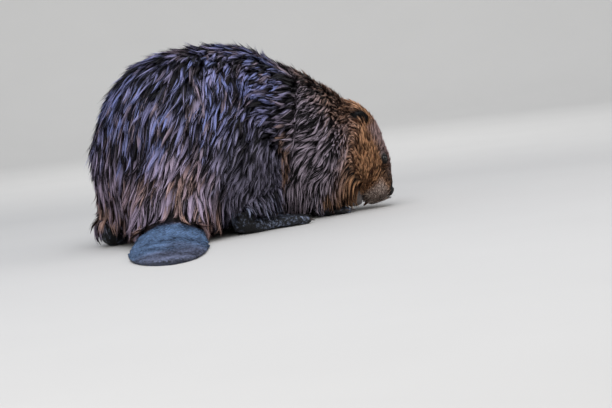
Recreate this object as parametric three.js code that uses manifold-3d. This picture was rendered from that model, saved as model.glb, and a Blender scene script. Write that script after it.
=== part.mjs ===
// A life-size North American beaver, as a museum shows one: hunched over its fore paws with its head bowed
// to gnaw at the ground, its hind feet planted and its tail laid flat behind. Millimetres, +Z up, +X forward
// along the trunk, +Y to the animal's left. The outline is that of the coat, not of the bare skin.
//
// The furred body is one smooth field, melted together from egg shapes and tapered bones. Each furred part
// is a ball blown up until it meets that field, then parted from its neighbours by thin cuts. Bare parts are
// built from sweeps and lathes.
import * as THREE from "three";
import { mergeVertices } from "three/addons/utils/BufferGeometryUtils.js";
import Module from "manifold-3d";

const wasm = await Module();
wasm.setup();

// Driving sizes.

const gap = 0.4; // between parts that meet
const huge = 2000; // side of the boxes that stand for half spaces

const trunk = {
  rump: { centre: [29, -9, 147], radii: [128, 128, 153] },
  back: { centre: [138, 0, 156], radii: [162, 124, 148], heading: 4 },
  chest: { centre: [256, -30, 132], radii: [102, 98, 116], heading: -12 },
  melt: 45,
};

const neck = { from: [272, -42, 136], girth: 80, toHead: [-130, 0, -22], headGirth: 60, melt: 40 };

const head = {
  noseTip: [407, -120, 25],
  heading: -31, // degrees left of +X
  bow: 60, // degrees below the level
  eye: { place: [-61, 29, 9], radius: 6.5 },
  ear: { place: [-139, 46, 17], length: 31, height: 22, thickness: 13, flare: 8, lean: 24, hollow: 4 },
  nosePad: { place: [-7, 0, -12], radii: [9, 13, 12] },
  nostril: { place: [0, 8, -12], radii: [6, 2.6, 3.4], turn: 30 },
};

const hindLegs = {
  right: { thigh: [74, -86, 108], thighTurn: 12, knee: [116, -104, 66], heel: [38, -122], heading: 8 },
  left: { thigh: [-6, 70, 112], thighTurn: 38, knee: [58, 108, 66], heel: [-76, 66], heading: 24 },
};
const thigh = { radii: [92, 58, 98], share: 1.13, cut: 60 };
const shank = { girth: 36, endGirth: 24, ahead: 24, height: 42 };

const foreLegs = {
  right: {
    shoulder: [258, -98, 104],
    shoulderTurn: -10,
    elbow: [246, -94, 62],
    wrist: [254, -82],
    heading: -18,
  },
  left: {
    shoulder: [282, 40, 104],
    shoulderTurn: -16,
    elbow: [276, 46, 62],
    wrist: [290, 38],
    heading: -20,
  },
};
const shoulder = { radii: [58, 37, 78], share: 1.14, cut: 56 };
const foreArm = { girth: 30, endGirth: 19, ahead: 8, height: 30 };

const hindFoot = {
  heelGirth: 17,
  ankleCut: 38, // height at which the foot meets the shank
  ball: 84, // from the heel's centre to the roots of the toes
  soleWidth: 44,
  instep: 15,
  toes: [
    { reach: 112, across: 42, girth: 7.5 },
    { reach: 142, across: 27, girth: 8.5 },
    { reach: 157, across: 5, girth: 9 },
    { reach: 152, across: -19, girth: 9 },
    { reach: 130, across: -42, girth: 8 },
  ],
  web: { thickness: 4, height: 4, reach: 0.86, hollow: 0.8 },
  claw: { length: 19, girth: 4.4, droop: 5, sunk: 6 },
};

const forePaw = {
  heelGirth: 15,
  ankleCut: 27,
  ball: 26,
  soleWidth: 32,
  instep: 11,
  toes: [
    { reach: 34, across: 19, girth: 5 },
    { reach: 53, across: 13, girth: 6 },
    { reach: 59, across: 1, girth: 6.2 },
    { reach: 55, across: -11, girth: 6 },
    { reach: 43, across: -20, girth: 5.5 },
  ],
  claw: { length: 17, girth: 3, droop: 5, sunk: 5 },
};

const tail = {
  base: { from: [-8, -44, 92], girth: 92, to: [-82, -106, 32], endGirth: 50, flatten: 0.62, melt: 36 },
  root: [-82, -106], // where the scaly paddle leaves the fur
  heading: 225, // degrees left of +X
  curve: 10, // degrees that the paddle turns along its length
  length: 262,
  halfWidth: 63,
  rootHeight: 16, // of the underside, where the paddle leaves the fur
  rootThickness: 25,
  edgeThickness: 5,
  notch: { at: 0.42, depth: 10, width: 0.028 }, // an old bite in the left edge
};

const coatColour = 0x3a2419;
const faceColour = 0x7a4a28;
const footColour = 0x23262a;
const tailColour = 0x39404c;
const clawColour = 0x2a2320;
const eyeColour = 0x0b0a0c;
const noseColour = 0x141316;
const toothColour = 0xc9762a;

// Small tools.

const at = (p) => new THREE.Vector3(...p);
const degrees = THREE.MathUtils.degToRad;
const sides = { right: -1, left: 1 };

const turned = (heading, bow = 0) =>
  new THREE.Quaternion()
    .setFromAxisAngle(new THREE.Vector3(0, 0, 1), degrees(heading))
    .multiply(new THREE.Quaternion().setFromAxisAngle(new THREE.Vector3(0, 1, 0), degrees(bow)));

const frameAt = (place, turn) => new THREE.Matrix4().compose(place, turn, new THREE.Vector3(1, 1, 1));

// A closed geometry as a solid, and back.
function solid(geometry, matrix) {
  const bare = geometry.index ? geometry.toNonIndexed() : geometry.clone();
  bare.deleteAttribute("normal");
  bare.deleteAttribute("uv");
  if (matrix) bare.applyMatrix4(matrix);
  const merged = mergeVertices(bare, 1e-4);
  return new wasm.Manifold(
    new wasm.Mesh({
      numProp: 3,
      vertProperties: new Float32Array(merged.attributes.position.array),
      triVerts: new Uint32Array(merged.index.array),
    }),
  );
}

function geometryOf(made, matrix) {
  const mesh = made.getMesh();
  const geometry = new THREE.BufferGeometry();
  geometry.setAttribute("position", new THREE.BufferAttribute(new Float32Array(mesh.vertProperties), 3));
  geometry.setIndex(new THREE.BufferAttribute(new Uint32Array(mesh.triVerts), 1));
  if (matrix) geometry.applyMatrix4(matrix.clone().invert());
  geometry.computeVertexNormals();
  return geometry;
}

// Everything beyond a plane, on the side that the normal points to.
function beyond(point, normal, offset = 0) {
  const turn = new THREE.Quaternion().setFromUnitVectors(new THREE.Vector3(0, 0, 1), normal);
  const middle = point.clone().addScaledVector(normal, huge / 2 + offset);
  return solid(new THREE.BoxGeometry(huge, huge, huge), frameAt(middle, turn));
}

const above = (height) => beyond(new THREE.Vector3(0, 0, height), new THREE.Vector3(0, 0, 1));

function egg(place, radii, turn, grow = 0, detail = 2) {
  const size = radii.map((r) => r + grow);
  return solid(
    new THREE.IcosahedronGeometry(1, detail),
    new THREE.Matrix4().compose(place, turn, at(size)),
  );
}

// The field of the furred body.

function eggField(place, radii, turn = new THREE.Quaternion()) {
  const centre = at(place);
  const back = turn.clone().invert();
  const q = new THREE.Vector3();
  return (p) => {
    q.copy(p).sub(centre).applyQuaternion(back);
    const near = Math.hypot(q.x / radii[0], q.y / radii[1], q.z / radii[2]);
    const slope = Math.hypot(q.x / radii[0] ** 2, q.y / radii[1] ** 2, q.z / radii[2] ** 2);
    return slope > 0 ? (near * (near - 1)) / slope : -Math.min(...radii);
  };
}

// A bone with flesh on it: round, and tapered from one end to the other.
function boneField(from, to, girth, endGirth, flatten = 1) {
  const a = at(from);
  const along = at(to).sub(a);
  const length2 = along.lengthSq();
  const q = new THREE.Vector3();
  return (p) => {
    q.copy(p).sub(a);
    const share = THREE.MathUtils.clamp(q.dot(along) / length2, 0, 1);
    q.addScaledVector(along, -share);
    q.z /= flatten;
    return (q.length() - THREE.MathUtils.lerp(girth, endGirth, share)) * flatten;
  };
}

function melted(a, b, reach) {
  const share = Math.max(reach - Math.abs(a - b), 0) / reach;
  return Math.min(a, b) - (share * share * reach) / 4;
}

const headTurn = turned(head.heading, head.bow);
const headFrame = frameAt(at(head.noseTip), headTurn);
const inWorld = (p) => at(p).applyMatrix4(headFrame);

// The masses of the head, in its own frame: origin at the nose's tip, +X out of it, +Z out of the brow.
const headMasses = [
  [eggField([-118, 0, -14], [60, 48, 43]), 20],
  [eggField([-76, 0, -10], [52, 36, 35]), 20],
  [boneField([-64, 0, 0], [-19, 0, -13], 23, 16), 14],
  [eggField([-24, 0, -31], [24, 32, 27]), 14],
  [eggField([-84, 25, -40], [48, 30, 42]), 18],
  [eggField([-84, -25, -40], [48, 30, 42]), 18],
  [boneField([-84, 0, -58], [-30, 0, -67], 34, 14), 14],
  [eggField([-84, 0, -78], [46, 36, 32]), 22],
];
const headBack = headFrame.clone().invert();
const headSpot = new THREE.Vector3();
function headField(p) {
  headSpot.copy(p).applyMatrix4(headBack);
  return headMasses.reduce((sum, [mass, reach]) => melted(sum, mass(headSpot), reach), Infinity);
}

// The ankle or wrist, above and ahead of the heel.
function ankleOf(heel, heading, bone) {
  const ahead = new THREE.Vector3(bone.ahead, 0, 0).applyQuaternion(turned(heading));
  return [heel[0] + ahead.x, heel[1] + ahead.y, bone.height];
}

// Both kinds of leg in the same words: an upper mass, a joint, a lower bone and a foot.
const hindLegOf = (leg) => ({
  place: leg.thigh,
  turn: turned(leg.thighTurn),
  joint: leg.knee,
  heel: leg.heel,
  heading: leg.heading,
  ankle: ankleOf(leg.heel, leg.heading, shank),
  mass: thigh,
  bone: shank,
  foot: hindFoot,
  names: ["thigh", "shank", "hind_foot", "hind_claw"],
});
const foreLegOf = (leg) => ({
  place: leg.shoulder,
  turn: turned(leg.shoulderTurn),
  joint: leg.elbow,
  heel: leg.wrist,
  heading: leg.heading,
  ankle: ankleOf(leg.wrist, leg.heading, foreArm),
  mass: shoulder,
  bone: foreArm,
  foot: forePaw,
  names: ["upper_arm", "forearm", "fore_paw", "fore_claw"],
});
const legs = Object.keys(sides).flatMap((side) => [
  { side, ...hindLegOf(hindLegs[side]) },
  { side, ...foreLegOf(foreLegs[side]) },
]);

const neckEnd = inWorld(neck.toHead).toArray();
const { base } = tail;
const bodyMasses = [
  [eggField(trunk.rump.centre, trunk.rump.radii), trunk.melt],
  [eggField(trunk.back.centre, trunk.back.radii, turned(trunk.back.heading)), trunk.melt],
  [eggField(trunk.chest.centre, trunk.chest.radii, turned(trunk.chest.heading)), trunk.melt],
  [boneField(neck.from, neckEnd, neck.girth, neck.headGirth), neck.melt],
  [boneField(base.from, base.to, base.girth, base.endGirth, base.flatten), base.melt],
  [headField, 26],
  ...legs.flatMap(({ place, turn, joint, ankle, mass, bone }) => [
    [eggField(place, mass.radii, turn), 24],
    [boneField(joint, ankle, bone.girth, bone.endGirth), 15],
  ]),
];
const bodyField = (p) => bodyMasses.reduce((sum, [mass, reach]) => melted(sum, mass(p), reach), Infinity);

// A ball blown up from inside until every ray from its centre meets the field's surface.
function blownUp(centre, detail, field, reach) {
  const ball = new THREE.IcosahedronGeometry(1, detail);
  ball.deleteAttribute("normal");
  ball.deleteAttribute("uv");
  const skin = mergeVertices(ball, 1e-5);
  const place = skin.attributes.position;
  const ray = new THREE.Vector3();
  const spot = new THREE.Vector3();
  const step = 6;
  for (let i = 0; i < place.count; i++) {
    ray.fromBufferAttribute(place, i).normalize();
    let far = step;
    while (far < reach && field(spot.copy(centre).addScaledVector(ray, far)) < 0) far += step;
    let near = far - step;
    for (let halving = 0; halving < 10; halving++) {
      const middle = (near + far) / 2;
      if (field(spot.copy(centre).addScaledVector(ray, middle)) < 0) near = middle;
      else far = middle;
    }
    spot.copy(centre).addScaledVector(ray, near);
    place.setXYZ(i, spot.x, spot.y, spot.z);
  }
  return solid(skin);
}

// Sweeps and lathes.

// A closed skin over rings of equal size, with a cap at each end.
function lofted(rings) {
  const around = rings[0].length;
  const points = rings.flat();
  const faces = [];
  const ringAt = (ring, i) => ring * around + (i % around);
  for (let ring = 0; ring + 1 < rings.length; ring++)
    for (let i = 0; i < around; i++) {
      faces.push(ringAt(ring, i), ringAt(ring, i + 1), ringAt(ring + 1, i + 1));
      faces.push(ringAt(ring, i), ringAt(ring + 1, i + 1), ringAt(ring + 1, i));
    }
  for (const [ring, flip] of [
    [0, true],
    [rings.length - 1, false],
  ]) {
    const middle = new THREE.Vector3();
    rings[ring].forEach((p) => middle.addScaledVector(p, 1 / around));
    points.push(middle);
    for (let i = 0; i < around; i++) {
      const edge = [ringAt(ring, i), ringAt(ring, i + 1)];
      faces.push(...(flip ? edge.reverse() : edge), points.length - 1);
    }
  }
  const geometry = new THREE.BufferGeometry().setFromPoints(points);
  geometry.setIndex(faces);
  return geometry;
}

// A round tapered rod between two points, bulging a little, with domed ends.
function finger(from, to, girth, endGirth, around = 6) {
  const length = from.distanceTo(to);
  const profile = [
    [0, -girth * 0.6],
    [girth * 0.94, 0],
    [(girth + endGirth) * 0.5, length * 0.5],
    [endGirth * 0.94, length],
    [0, length + endGirth * 0.6],
  ].map(([x, y]) => new THREE.Vector2(x, y));
  const turn = new THREE.Quaternion().setFromUnitVectors(
    new THREE.Vector3(0, 1, 0),
    to.clone().sub(from).normalize(),
  );
  return solid(new THREE.LatheGeometry(profile, around), frameAt(from, turn));
}

// A rod bent through a line of points, with its own girth at each.
function bentRod(line, girths, around = 5) {
  const rings = line.map((point, i) => {
    const before = line[Math.max(i - 1, 0)];
    const after = line[Math.min(i + 1, line.length - 1)];
    const forward = after.clone().sub(before).normalize();
    const across = new THREE.Vector3(0, 0, 1).cross(forward).normalize();
    const up = forward.clone().cross(across);
    return Array.from({ length: around }, (_, step) => {
      const turn = (step / around) * 2 * Math.PI;
      return point
        .clone()
        .addScaledVector(across, girths[i] * Math.cos(turn))
        .addScaledVector(up, girths[i] * Math.sin(turn));
    });
  });
  return solid(lofted(rings));
}

// A claw: a cone that droops towards its point. It runs along +X from its sunk root.
function clawGeometry({ length, girth, droop, sunk }, grow = 0) {
  const cone = new THREE.ConeGeometry(girth + grow, length + sunk + grow, 5, 2);
  cone.rotateZ(-Math.PI / 2);
  cone.translate((length + sunk + grow) / 2 - sunk - grow, 0, 0);
  const place = cone.attributes.position;
  for (let i = 0; i < place.count; i++) {
    const share = THREE.MathUtils.clamp(place.getX(i) / length, 0, 1);
    place.setZ(i, place.getZ(i) * (1 - 0.2 * share) - droop * share * share);
  }
  return cone;
}

// Feet.

// Each toe's root, knuckle and tip in the foot's own frame: heel at the origin, +X to the middle toe.
function toeLine(foot, toe, side) {
  const across = toe.across * -side; // the first toe is the inner one
  const root = new THREE.Vector3(foot.ball * 0.8, across * 0.36, foot.instep * 0.6);
  const knuckle = new THREE.Vector3(
    foot.ball + (toe.reach - foot.ball) * 0.42,
    across * 0.82,
    toe.girth + foot.instep * 0.12,
  );
  const tip = new THREE.Vector3(toe.reach, across, toe.girth * 0.72);
  const end = tip.clone().add(new THREE.Vector3(toe.girth * 0.6, 0, -toe.girth * 0.1));
  return { root, knuckle, tip, end };
}

function footSolid(foot, side, columnGirth, columnAhead) {
  const lines = foot.toes.map((toe) => toeLine(foot, toe, side));
  const heel = new THREE.Vector3(foot.heelGirth * 0.75, 0, foot.heelGirth * 0.86);
  const column = new THREE.Vector3(columnAhead, 0, foot.ankleCut + 14);
  const instep = new THREE.Vector3(foot.ball * 0.56, 0, foot.instep * 0.72);
  const pieces = [
    finger(heel, column, foot.heelGirth, columnGirth, 7),
    egg(instep, [foot.ball * 0.6, foot.soleWidth / 2, foot.instep], turned(0, 4), 0, 1),
    ...lines.map(({ root, knuckle, tip, end }, i) => {
      const girth = foot.toes[i].girth;
      return bentRod([root, knuckle, tip, end], [girth, girth, girth * 0.85, girth * 0.4]);
    }),
  ];
  if (foot.web) pieces.push(webSolid(foot, lines));
  const whole = pieces.reduce((sum, piece) => sum.add(piece));
  return whole.subtract(above(foot.ankleCut)).intersect(above(0));
}

// The web: a thin plate whose free edge hangs between the toes in hollow curves.
function webSolid(foot, lines) {
  const { thickness, height, reach, hollow } = foot.web;
  const ends = lines.map(({ root, tip }) => root.clone().lerp(tip, reach));
  const outline = new THREE.Shape();
  outline.moveTo(foot.ball * 0.5, lines[0].root.y);
  outline.lineTo(ends[0].x, ends[0].y);
  for (let i = 0; i + 1 < ends.length; i++) {
    const middle = ends[i].clone().add(ends[i + 1]).multiplyScalar(0.5 * hollow);
    outline.quadraticCurveTo(middle.x, middle.y, ends[i + 1].x, ends[i + 1].y);
  }
  outline.lineTo(foot.ball * 0.5, lines.at(-1).root.y);
  const plain = { depth: thickness, bevelEnabled: false, curveSegments: 1 };
  const plate = new THREE.ExtrudeGeometry(outline, plain);
  return solid(plate, new THREE.Matrix4().makeTranslation(0, 0, height));
}

// The claws' frames, at the toes' tips, pointing the way that the toe does.
function clawFrames(foot, side) {
  return foot.toes.map((toe) => {
    const { knuckle, tip } = toeLine(foot, toe, side);
    const heading = THREE.MathUtils.radToDeg(Math.atan2(tip.y - knuckle.y, tip.x - knuckle.x));
    const lift = foot.claw.droop + foot.claw.girth * 0.25 - tip.z + 1;
    return frameAt(tip.clone().add(new THREE.Vector3(0, 0, Math.max(lift, 1))), turned(heading, 2));
  });
}

// Building the nodes.

const beaver = new THREE.Group();

function finish(colour, roughness) {
  return new THREE.MeshStandardMaterial({ color: colour, roughness, metalness: 0 });
}
const coat = finish(coatColour, 0.45);
const face = finish(faceColour, 0.6);
const bareFoot = finish(footColour, 0.45);
const tailSkin = finish(tailColour, 0.55);
const horn = finish(clawColour, 0.35);
const eyeGloss = finish(eyeColour, 0.05);
const noseSkin = finish(noseColour, 0.35);
const enamel = finish(toothColour, 0.3);

function addNode(group, name, geometry, material) {
  const mesh = new THREE.Mesh(geometry, material);
  mesh.name = name;
  group.add(mesh);
  return mesh;
}

function groupAt(matrix) {
  const group = new THREE.Group();
  matrix.decompose(group.position, group.quaternion, group.scale);
  beaver.add(group);
  return group;
}

// Where the neck leaves the chest, and where the head leaves the neck.
const neckCut = {
  point: new THREE.Vector3(306, -40, 150),
  normal: new THREE.Vector3(1, 0, 0).applyQuaternion(turned(-20, 14)),
};
const headCut = {
  point: inWorld([-158, 0, 0]),
  normal: new THREE.Vector3(1, 0, 0).applyQuaternion(turned(-20, 24)),
};

function largest(made) {
  return made.decompose().reduce((best, body) => (body.volume() > best.volume() ? body : best));
}

function upperTool({ place, turn, mass }, grow) {
  const radii = mass.radii.map((r) => r * mass.share);
  return egg(at(place), radii, turn, grow, 1).intersect(above(mass.cut - grow));
}

function shinTool({ joint, ankle, mass, bone }, grow) {
  const rod = finger(at(joint), at(ankle), bone.girth + grow, bone.endGirth + grow, 8);
  return rod.subtract(above(mass.cut - gap + grow));
}

// A dome over the foot, clear of it all round.
function footRoom({ foot, turn, mass }, frame) {
  const reach = foot.toes[2].reach;
  const dome = egg(
    new THREE.Vector3(reach * 0.42, 0, 0),
    [reach * 0.86, foot.soleWidth * 1.55, foot.ankleCut * 1.6],
    turned(0),
    gap,
    1,
  );
  return dome.transform(frame.elements);
}

function buildLeg(leg) {
  const [upperName, lowerName, footName, clawName] = leg.names;
  const side = sides[leg.side];
  const frame = frameAt(new THREE.Vector3(...leg.heel, 0), turned(leg.heading));
  const group = groupAt(frame);
  const room = footRoom(leg, frame);

  const upper = blownUp(at(leg.place), 3, bodyField, 260).intersect(upperTool(leg, 0)).subtract(room);
  addNode(beaver, `${upperName}_${leg.side}`, geometryOf(largest(upper)), coat);

  const lower = shinTool(leg, 0).intersect(above(leg.foot.ankleCut + gap));
  addNode(group, `${lowerName}_${leg.side}`, geometryOf(lower, frame), coat);

  const claws = clawFrames(leg.foot, side);
  const sole = claws.reduce(
    (sum, claw) => sum.subtract(solid(clawGeometry(leg.foot.claw, gap), claw)),
    footSolid(leg.foot, side, leg.bone.endGirth * 0.92, leg.bone.ahead),
  );
  addNode(group, `${footName}_${leg.side}`, geometryOf(largest(sole)), bareFoot);
  claws.forEach((claw, i) => {
    const mesh = addNode(group, `${clawName}_${leg.side}_${i + 1}`, clawGeometry(leg.foot.claw), horn);
    claw.decompose(mesh.position, mesh.quaternion, mesh.scale);
  });
  return [upperTool(leg, gap), shinTool(leg, gap), room];
}

// The tail's paddle: lens-shaped sections along a line that comes down to the floor and then lies on it.
function paddleGeometry() {
  const rows = 13;
  const around = 10;
  const rings = [];
  const spot = new THREE.Vector3(...tail.root, 0);
  let last = 0;
  for (let row = 0; row <= rows; row++) {
    const share = 1 - (1 - row / rows) ** 1.25;
    const heading = degrees(tail.heading + tail.curve * share);
    const forward = new THREE.Vector3(Math.cos(heading), Math.sin(heading), 0);
    spot.addScaledVector(forward, (share - last) * tail.length);
    last = share;
    const across = new THREE.Vector3(-forward.y, forward.x, 0);
    const lift = tail.rootHeight * Math.max(0, 1 - share / 0.34) ** 2;
    const waist = 0.86 + 0.14 * Math.min(1, share / 0.22); // narrower where it leaves the fur
    const width = tail.halfWidth * waist * Math.sqrt(Math.max(1 - share ** 3.2, 0.004));
    const crown = THREE.MathUtils.lerp(tail.rootThickness, 9, Math.min(1, share * 1.15) ** 0.7);
    const bite = tail.notch.depth * Math.exp(-(((share - tail.notch.at) / tail.notch.width) ** 2));
    const ring = [];
    for (let i = 0; i < around; i++) {
      const turn = (i / around) * 2 * Math.PI;
      const side = Math.cos(turn);
      const reach = side < 0 ? width - bite : width; // the animal's left edge has the notch
      const thick = THREE.MathUtils.lerp(tail.edgeThickness, crown, 1 - Math.abs(side) ** 1.6);
      const height = Math.sin(turn) > 1e-6 ? thick : Math.sin(turn) < -1e-6 ? 0 : thick * 0.45;
      const out = side * reach * (height === 0 ? 0.97 : 1); // the underside is a little narrower
      ring.push(spot.clone().addScaledVector(across, out).setZ(lift + height));
    }
    rings.push(ring);
  }
  return lofted(rings);
}

function buildTail(taken) {
  const heading = degrees(tail.heading);
  const out = new THREE.Vector3(Math.cos(heading), Math.sin(heading), 0);
  const root = new THREE.Vector3(...tail.root, 0);
  const rumpCut = root.clone().addScaledVector(out, -46);
  const tilt = out.clone().add(new THREE.Vector3(0, 0, -0.35)).normalize();
  const centre = root.clone().addScaledVector(out, -52).setZ(58);
  const base = taken
    .reduce((sum, tool) => sum.subtract(tool), blownUp(centre, 4, bodyField, 260))
    .intersect(beyond(rumpCut.clone().setZ(60), tilt, gap))
    .subtract(beyond(root, out, -gap))
    .intersect(above(2));
  addNode(beaver, "tail_base", geometryOf(largest(base)), coat);
  addNode(beaver, "tail_paddle", paddleGeometry(), tailSkin);
  return beyond(rumpCut.clone().setZ(60), tilt);
}

function buildTrunk(taken, tailSide) {
  let whole = blownUp(new THREE.Vector3(140, 0, 150), 5, bodyField, 420);
  whole = whole.subtract(beyond(neckCut.point, neckCut.normal)).subtract(tailSide).intersect(above(8));
  const body = taken.reduce((sum, tool) => sum.subtract(tool), whole);
  addNode(beaver, "trunk", geometryOf(largest(body)), coat);

  let collar = blownUp(new THREE.Vector3(322, -48, 128), 4, bodyField, 320);
  collar = collar
    .intersect(beyond(neckCut.point, neckCut.normal, gap))
    .subtract(beyond(headCut.point, headCut.normal))
    .intersect(above(8));
  const throat = taken.reduce((sum, tool) => sum.subtract(tool), collar);
  addNode(beaver, "neck", geometryOf(largest(throat)), coat);
}

// The head, in its own frame.

function earTurn(side) {
  return turned(side * -head.ear.flare).multiply(
    new THREE.Quaternion().setFromAxisAngle(new THREE.Vector3(1, 0, 0), degrees(side * head.ear.lean)),
  );
}

function earSolid(side, grow = 0) {
  const { place, length, height, thickness } = head.ear;
  return egg(mirrored(place, side), [length / 2, thickness / 2, height / 2], earTurn(side), grow, 1);
}

function earHollow(side) {
  const { place, length, height, thickness, hollow } = head.ear;
  const turn = earTurn(side);
  const out = new THREE.Vector3(0, side * thickness * 0.62, 0).applyQuaternion(turn);
  return egg(mirrored(place, side).add(out), [length * 0.37, hollow, height * 0.34], turn, 0, 1);
}

function mirrored(place, side) {
  return new THREE.Vector3(place[0], place[1] * side, place[2]);
}

// The open mouth: a wedge from the lips that thins to a fine cut at the cheeks.
function mouthCut() {
  const outline = new THREE.Shape();
  outline.moveTo(30, -52);
  outline.lineTo(-14, -52);
  outline.lineTo(-42, -49);
  outline.lineTo(-64, -44);
  outline.lineTo(-92, -56);
  outline.lineTo(-112, -120);
  outline.lineTo(-111.4, -120);
  outline.lineTo(-91.4, -56.6);
  outline.lineTo(-63.4, -44.6);
  outline.lineTo(-42, -53);
  outline.lineTo(-20, -60);
  outline.lineTo(30, -72);
  const width = 200;
  const plate = new THREE.ExtrudeGeometry(outline, { depth: width, bevelEnabled: false });
  plate.rotateX(Math.PI / 2);
  plate.translate(0, width / 2, 0);
  return solid(plate);
}

function incisors(height, lean, place) {
  const outline = new THREE.Shape();
  outline.moveTo(-3.2, 0);
  outline.lineTo(3.2, 0);
  outline.lineTo(1.2, -height);
  outline.lineTo(-1.8, -height + 2.5);
  const pair = new THREE.ExtrudeGeometry(outline, { depth: 12, bevelEnabled: false });
  pair.rotateX(Math.PI / 2);
  pair.translate(0, 6, 0);
  pair.rotateY(degrees(lean));
  pair.translate(...place);
  return pair;
}

function buildHead(taken) {
  const group = groupAt(headFrame);
  const ownField = (p) => bodyField(headWorld.copy(p).applyMatrix4(headFrame));
  const headWorld = new THREE.Vector3();
  const toHead = headFrame.clone().invert();
  const cut = {
    point: headCut.point.clone().applyMatrix4(toHead),
    normal: headCut.normal.clone().transformDirection(toHead),
  };
  const floor = above(4).transform(toHead.elements);
  let skull = blownUp(new THREE.Vector3(-74, 0, -14), 5, ownField, 260)
    .intersect(beyond(cut.point, cut.normal, gap))
    .intersect(floor);
  for (const tool of taken) skull = skull.subtract(tool.transform(toHead.elements));
  for (const side of Object.values(sides)) {
    skull = skull
      .subtract(earSolid(side, gap))
      .subtract(egg(mirrored(head.eye.place, side), Array(3).fill(head.eye.radius), turned(0), gap, 1));
  }
  skull = skull.subtract(egg(at(head.nosePad.place), head.nosePad.radii, turned(0), gap, 1));
  const upperTeeth = incisors(18, -6, [-14, 0, -45]);
  const lowerTeeth = incisors(10, 190, [-27, 0, -66]);
  skull = skull.subtract(mouthCut());
  for (const teeth of [upperTeeth, lowerTeeth]) skull = skull.subtract(swollen(teeth, gap));
  const pieces = skull.decompose().sort((a, b) => b.volume() - a.volume());
  addNode(group, "head", geometryOf(pieces[0]), face);
  addNode(group, "lower_jaw", geometryOf(pieces[1]), face);
  for (const [name, side] of Object.entries(sides)) {
    addNode(group, `ear_${name}`, geometryOf(earSolid(side).subtract(earHollow(side))), face);
    const eye = addNode(group, `eye_${name}`, new THREE.SphereGeometry(head.eye.radius, 9, 6), eyeGloss);
    eye.position.copy(mirrored(head.eye.place, side));
  }
  const pad = egg(at(head.nosePad.place), head.nosePad.radii, turned(0), 0, 1);
  const { nostril } = head;
  const nostrils = Object.values(sides).map((side) =>
    egg(mirrored(nostril.place, side), nostril.radii, turned(side * nostril.turn), 0, 0),
  );
  addNode(group, "nose", geometryOf(nostrils.reduce((sum, hole) => sum.subtract(hole), pad)), noseSkin);
  addNode(group, "upper_incisors", upperTeeth, enamel);
  addNode(group, "lower_incisors", lowerTeeth, enamel);
}

// A small convex piece, a little larger all round.
function swollen(geometry, grow) {
  geometry.computeBoundingBox();
  const middle = geometry.boundingBox.getCenter(new THREE.Vector3());
  const size = geometry.boundingBox.getSize(new THREE.Vector3());
  const stretch = size.clone().addScalar(grow * 2.5).divide(size);
  const larger = geometry.clone().translate(-middle.x, -middle.y, -middle.z);
  return solid(larger.scale(...stretch).translate(middle.x, middle.y, middle.z));
}

const taken = legs.flatMap(buildLeg);
const tailSide = buildTail(taken);
buildTrunk(taken, tailSide);
buildHead(taken);

// The origin is on the floor, under the middle of the whole animal.
const extent = new THREE.Box3().setFromObject(beaver, true);
const middle = extent.getCenter(new THREE.Vector3());
const whole = new THREE.Group();
beaver.position.set(-middle.x, -middle.y, 0);
whole.add(beaver);

export default whole;
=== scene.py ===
import math
import bpy
import numpy as np
from mathutils import Matrix, Vector, noise
from mathutils.bvhtree import BVHTree


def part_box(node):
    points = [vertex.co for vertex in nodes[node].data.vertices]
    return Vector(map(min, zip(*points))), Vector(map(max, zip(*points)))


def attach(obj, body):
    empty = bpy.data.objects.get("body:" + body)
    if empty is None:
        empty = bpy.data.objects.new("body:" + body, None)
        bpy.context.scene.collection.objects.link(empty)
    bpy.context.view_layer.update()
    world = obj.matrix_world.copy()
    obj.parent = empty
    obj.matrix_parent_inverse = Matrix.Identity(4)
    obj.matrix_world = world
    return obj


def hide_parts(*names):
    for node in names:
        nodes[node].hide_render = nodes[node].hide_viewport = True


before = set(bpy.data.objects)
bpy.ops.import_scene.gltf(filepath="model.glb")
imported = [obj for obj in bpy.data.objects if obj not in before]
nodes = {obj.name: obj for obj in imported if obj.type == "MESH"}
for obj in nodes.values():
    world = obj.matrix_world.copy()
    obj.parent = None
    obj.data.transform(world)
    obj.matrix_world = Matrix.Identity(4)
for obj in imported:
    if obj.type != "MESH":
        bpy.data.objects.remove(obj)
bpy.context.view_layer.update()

rng = np.random.default_rng(seed=20)


# Camera

view = {
    "azimuth": -43.0,  # degrees, 0 looks along +Y
    "elevation": 4.5,
    "roll": 6.5,  # the floor climbs to the right
    "distance": 3.0,
    "lens": 109.4,
    "lookAt": (0.0920, -0.0800, 0.0328),
}


def placeCamera():
    azimuth, elevation, roll = (math.radians(view[k]) for k in ("azimuth", "elevation", "roll"))
    back = Vector((
        math.sin(azimuth) * math.cos(elevation),
        -math.cos(azimuth) * math.cos(elevation),
        math.sin(elevation),
    ))
    level = Vector((math.cos(azimuth), math.sin(azimuth), 0))
    up = back.cross(level)
    right = level * math.cos(roll) - up * math.sin(roll)
    turned = Matrix((right, back.cross(right), back)).transposed().to_4x4()
    data = bpy.data.cameras.new("camera")
    data.lens = view["lens"]
    camera = bpy.data.objects.new("camera", data)
    bpy.context.scene.collection.objects.link(camera)
    camera.matrix_world = Matrix.Translation(Vector(view["lookAt"]) + back * view["distance"]) @ turned
    bpy.context.scene.camera = camera


placeCamera()
bpy.context.scene.view_settings.view_transform = "Standard"
print("camera placed")


# Small helpers

def deselectAll():
    bpy.ops.object.select_all(action="DESELECT")


def activate(obj):
    deselectAll()
    obj.select_set(True)
    bpy.context.view_layer.objects.active = obj


def applyModifier(obj, name, kind, **settings):
    activate(obj)
    modifier = obj.modifiers.new(name, kind)
    for key, value in settings.items():
        setattr(modifier, key, value)
    bpy.ops.object.modifier_apply(modifier=modifier.name)


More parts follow.
